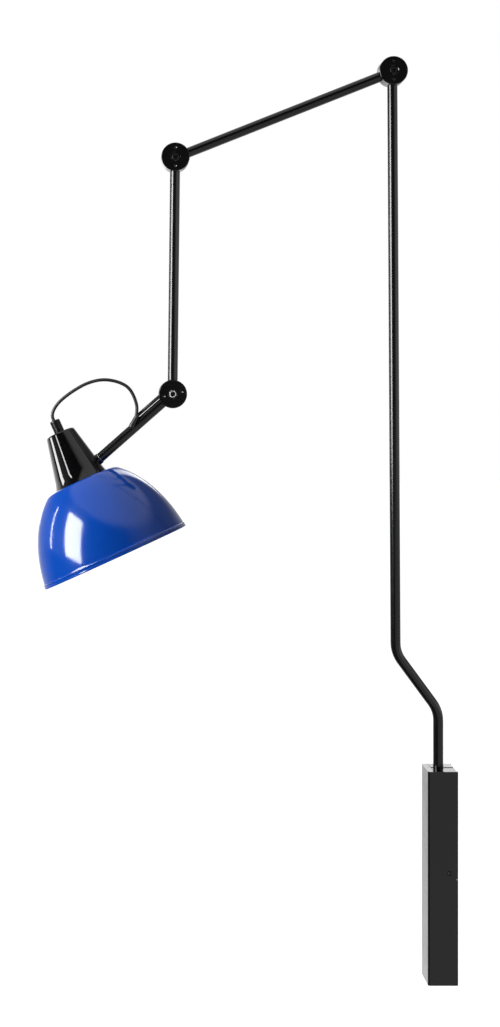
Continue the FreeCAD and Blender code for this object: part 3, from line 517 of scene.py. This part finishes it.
def domeLine(inset, endDepth):
    # flat crown, rounded corner and dome, from the hole down, as (radius, height)
    startDepth = shadeSet["cornerDepth"] + inset
    ratio = (shadeSet["domeRadius"] - inset) / (shadeSet["domeHeight"] - inset)
    rise = (shadeSet["domeCentre"] - startDepth) * ratio ** 2
    slope = math.atan2(domeRadius(startDepth, inset), rise)
    bend = (startDepth - inset) / (1 - math.cos(slope))
    flat = domeRadius(startDepth, inset) - bend * math.sin(slope)
    hole, steps = shadeSet["hole"], shadeSet["flatSteps"]
    points = [(hole + (flat - hole) * step / steps, -inset) for step in range(steps)]
    steps = shadeSet["cornerSteps"]
    for step in range(steps + 1):
        turn = slope * step / steps
        points.append((flat + bend * math.sin(turn), -inset - bend * (1 - math.cos(turn))))
    steps = shadeSet["domeSteps"]
    for step in range(1, steps + 1):
        depth = startDepth + (endDepth - startDepth) * step / steps
        points.append((domeRadius(depth, inset), -depth))
    return points


def rimLine():
    # from the ledge out to the bead, down the band, round the foot and back up inside
    s = shadeSet
    half = s["rimThick"] / 2
    footMiddle = (s["rimRadius"] - half, -s["height"] + half)
    beadMiddle = (s["rimRadius"] - s["beadIn"], -s["stepEnd"])
    bandRadius = s["rimRadius"] - s["bandIn"]
    points = [(s["rimRadius"] - s["ledgeIn"], -s["stepStart"] - s["ledgeDrop"])]
    points += arcPoints(beadMiddle, s["beadRadius"], 90, 0, s["beadSteps"])
    points.append((bandRadius, -s["stepEnd"] - s["bandDrop"]))
    points.append((bandRadius, -s["height"] + s["bandAboveFoot"]))
    points.append((s["rimRadius"], -s["height"] + s["footRise"]))
    points += arcPoints(footMiddle, half, 0, -180, s["footSteps"])
    points.append((s["rimRadius"] - s["rimThick"], -s["stepEnd"] - s["liningDrop"]))
    return points


def buildShade():
    outer = domeLine(0, shadeSet["stepStart"])
    inner = domeLine(shadeSet["sheet"], shadeSet["stepStart"])
    rim = rimLine()
    profile = outer + rim + inner[::-1]
    piece = lathe("shadeDome", profile, shadeSet["turns"], headMatrix)
    piece.data.materials.append(finishes["blue_gloss_paint"])
    piece.data.materials.append(insideWhite)
    # white inside, from the foot's inner edge up to the hole
    insideFrom = len(outer) + len(rim) - 2
    count = len(profile)
    for index, polygon in enumerate(piece.data.polygons):
        if insideFrom <= index % count < count - 1:
            polygon.material_index = 1
    sharpen(piece, shadeSet["sharpFrom"])
    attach(piece, "head")
    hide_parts("shade")


buildShade()
print("shade built")


# Floor. What the lamp mirrors of the floor and of the world is a brightness by compass angle, where 0 is the
# front, 90 the left, 180 the back and -90 the right
stageSet = {
    "floorLevel": -0.42, "floorSize": 12, "middle": (-0.2, 0),
    "floorColour": (0.55, 0.55, 0.55), "floorRough": 0.9, "floorShine": 0.1,
    # the camera sees this much light on top of the floor's own, by distance from the middle
    "liftNear": 0.75, "liftFar": 1.0, "liftFrom": 0.35, "liftTo": 0.8,
    "mirror": [(-180, 1.6), (-172, 2.2), (-164, 2.0), (-150, 0.7), (-110, 0.6), (-60, 0.6), (-20, 0.62),
               (8, 0.62), (18, 0.05), (105, 0.05), (130, 0.4), (150, 0.6), (166, 0.9), (171, 1.45),
               (176, 1.45), (180, 1.6)],
}


def buildFloor():
    size, low = stageSet["floorSize"], stageSet["floorLevel"]
    corners = [(-size, -size, low), (size, -size, low), (size, size, low), (-size, size, low)]
    floor = meshPiece("floor", corners, [(0, 1, 2, 3)], smooth=False)
    material = bpy.data.materials.new("paleFloor")
    material.use_nodes = True
    tree = material.node_tree
    shader = tree.nodes["Principled BSDF"]
    shader.inputs["Base Color"].default_value = (*stageSet["floorColour"], 1)
    shader.inputs["Roughness"].default_value = stageSet["floorRough"]
    shader.inputs["Specular IOR Level"].default_value = stageSet["floorShine"]
    shader.inputs["Emission Color"].default_value = (1, 1, 1, 1)
    rays = node(tree, "ShaderNodeLightPath", (-900, -300))
    place = node(tree, "ShaderNodeSeparateXYZ", (-1500, 300))
    tree.links.new(node(tree, "ShaderNodeNewGeometry", (-1700, 300)).outputs["Position"], place.inputs[0])
    across = maths(tree, "SUBTRACT", place.outputs["X"], stageSet["middle"][0], (-1300, 350))
    along = maths(tree, "SUBTRACT", place.outputs["Y"], stageSet["middle"][1], (-1300, 250))
    # the floor near the lamp keeps its shadow, further off it is plain white
    far = distance(tree, across, along, (-1100, -500))
    near = remap(tree, far, stageSet["liftFrom"], stageSet["liftTo"], stageSet["liftNear"],
                 stageSet["liftFar"], (-500, -500))
    lift = maths(tree, "MULTIPLY", rays.outputs["Is Camera Ray"], near, (-300, -300))
    tree.links.new(lift, shader.inputs["Emission Strength"])
    # mirrored, it is a glow of its own
    glow = node(tree, "ShaderNodeEmission", (0, 300))
    level = compassLevel(tree, across, along, stageSet["mirror"], (-1100, 300))
    tree.links.new(level, glow.inputs["Strength"])
    chosen = node(tree, "ShaderNodeMixShader", (300, 0))
    tree.links.new(mirrorRays(tree, rays, (-600, -100)), chosen.inputs[0])
    tree.links.new(shader.outputs[0], chosen.inputs[1])
    tree.links.new(glow.outputs[0], chosen.inputs[2])
    tree.links.new(chosen.outputs[0], tree.nodes["Material Output"].inputs["Surface"])
    floor.data.materials.append(material)


buildFloor()
print("floor built")


# World: plain white to the camera, with one brightness for gloss and a weaker one that lights the lamp
worldSet = {
    "camera": 1.0,
    # what lights the lamp, darker in front than behind
    "bodyFront": 0.07, "bodyBack": 0.18, "bodyFrom": -0.2, "bodyTo": 0.6,
    "mirror": [(-180, 0.9), (-166, 0.5), (-150, 0.5), (-110, 0.8), (-81, 1.1), (-56, 1.5), (-34, 0.9),
               (-24, 0.4), (-14, 0.06), (48, 0.06), (60, 0.2), (72, 0.3), (120, 0.35), (150, 0.5),
               (159, 0.8), (164, 2.2), (171, 2.2), (175, 0.9), (180, 0.9)],
    # from here on heights are those of a direction, 0 for level and 1 for straight up
    # the mirrored ring dims upwards to this share
    "upperShare": 0.3, "upperFrom": 0.15, "upperTo": 0.4,
    # pale patch behind the lamp, which shows in the top of the wall box
    "patch": [(-180, 0), (-172, 0), (-169, 3.0), (-163, 3.0), (-160, 0), (180, 0)],
    "patchFrom": 0.19, "patchTo": 0.22,
    # pale ceiling
    "ceiling": 0.95, "ceilingFrom": 0.67, "ceilingTo": 0.76,
}


def buildWorld():
    world = bpy.data.worlds.new("studio")
    scene.world = world
    world.use_nodes = True
    tree = world.node_tree
    back = tree.nodes["Background"]
    back.inputs["Color"].default_value = (1, 1, 1, 1)
    direction = node(tree, "ShaderNodeTexCoord", (-1800, 0))
    split = node(tree, "ShaderNodeSeparateXYZ", (-1600, 0))
    tree.links.new(direction.outputs["Generated"], split.inputs[0])
    across, along, up = split.outputs["X"], split.outputs["Y"], split.outputs["Z"]
    wall = compassLevel(tree, across, along, worldSet["mirror"], (-1400, 0))
    dim = remap(tree, up, worldSet["upperFrom"], worldSet["upperTo"], 1, worldSet["upperShare"], (-700, 250))
    wall = maths(tree, "MULTIPLY", wall, dim, (-400, 100))
    patch = compassLevel(tree, across, along, worldSet["patch"], (-1400, -500))
    above = remap(tree, up, worldSet["patchFrom"], worldSet["patchTo"], 0, 1, (-700, -700))
    wall = maths(tree, "ADD", wall, maths(tree, "MULTIPLY", patch, above, (-400, -600)), (-300, -100))
    high = remap(tree, up, worldSet["ceilingFrom"], worldSet["ceilingTo"], 0, 1, (-700, 500))
    room = blendNumbers(tree, high, wall, worldSet["ceiling"], (-200, 100))
    body = remap(tree, along, worldSet["bodyFrom"], worldSet["bodyTo"], worldSet["bodyFront"],
                 worldSet["bodyBack"], (-700, 750))
    rays = node(tree, "ShaderNodeLightPath", (-700, -300))
    seen = blendNumbers(tree, mirrorRays(tree, rays, (-400, -300)), body, room, (0, 0))
    seen = blendNumbers(tree, rays.outputs["Is Camera Ray"], seen, worldSet["camera"], (200, 0))
    tree.links.new(seen, back.inputs["Strength"])


buildWorld()
print("world built")


# Panels round the lamp. Bright is a panel's own brightness, where the white background is 1. A mirror panel
# is only seen in the gloss, and a body panel only gives light. Only and not name the one piece that a panel
# shows on, or the one that it stays off
lightsMiddle = Vector((-0.4178, -0.008, 0.42))
lights = [
    {"name": "leftSoftbox", "size": (0.72, 1.04), "towards": (-0.861, -0.426, 0.276), "away": 1.6,
     "bright": 22, "shows": "mirror", "not": "lampholder_cover"},
    {"name": "coneStripLow", "size": (0.42, 0.60), "towards": (-0.999, 0.009, -0.044), "away": 1.6,
     "bright": 16, "shows": "mirror", "only": "lampholder_cover"},
    {"name": "coneSide", "size": (1.3, 1.4), "towards": (-0.72, 0.68, -0.10), "away": 1.6,
     "bright": 0.9, "shows": "mirror", "only": "lampholder_cover"},
    {"name": "coneStripHigh", "size": (0.14, 0.60), "towards": (-0.743, -0.624, 0.242), "away": 1.6,
     "bright": 18, "shows": "mirror", "only": "lampholder_cover"},
    {"name": "leftStrip", "size": (0.06, 0.83), "towards": (-0.948, 0.254, 0.191), "away": 1.6,
     "bright": 20, "shows": "mirror", "not": "lampholder_cover"},
    {"name": "overhead", "size": (3.0, 1.6), "towards": (0.25, -0.1, 1.0), "away": 1.7,
     "bright": 0.35, "shows": "body"},
    {"name": "leftKey", "size": (1.4, 1.8), "towards": (-0.87, -0.36, 0.40), "away": 2.2,
     "bright": 6.6, "shows": "body"},
]


def linkLight(lampObject, item):
    piece = nodes[item.get("only") or item["not"]]
    group = bpy.data.collections.new(item["name"] + "Sees")
    group.objects.link(piece)
    lampObject.light_linking.receiver_collection = group
    group.collection_objects[0].light_linking.link_state = "INCLUDE" if "only" in item else "EXCLUDE"


def buildLights():
    for item in lights:
        data = bpy.data.lights.new(item["name"], "AREA")
        data.shape = "RECTANGLE"
        width, height = item["size"]
        data.size, data.size_y = width, height
        data.energy = item["bright"] * math.pi * width * height     # watts for that brightness
        lampObject = bpy.data.objects.new(item["name"], data)
        away = Vector(item["towards"]).normalized()
        lampObject.location = lightsMiddle + away * item["away"]
        lampObject.rotation_euler = away.to_track_quat("Z", "Y").to_euler()
        lampObject.visible_camera = False
        lampObject.visible_diffuse = item["shows"] != "mirror"
        lampObject.visible_glossy = item["shows"] != "body"
        scene.collection.objects.link(lampObject)
        if "only" in item or "not" in item:
            linkLight(lampObject, item)


buildLights()
scene.view_settings.view_transform = "Standard"
print("lights set:", len(lights))
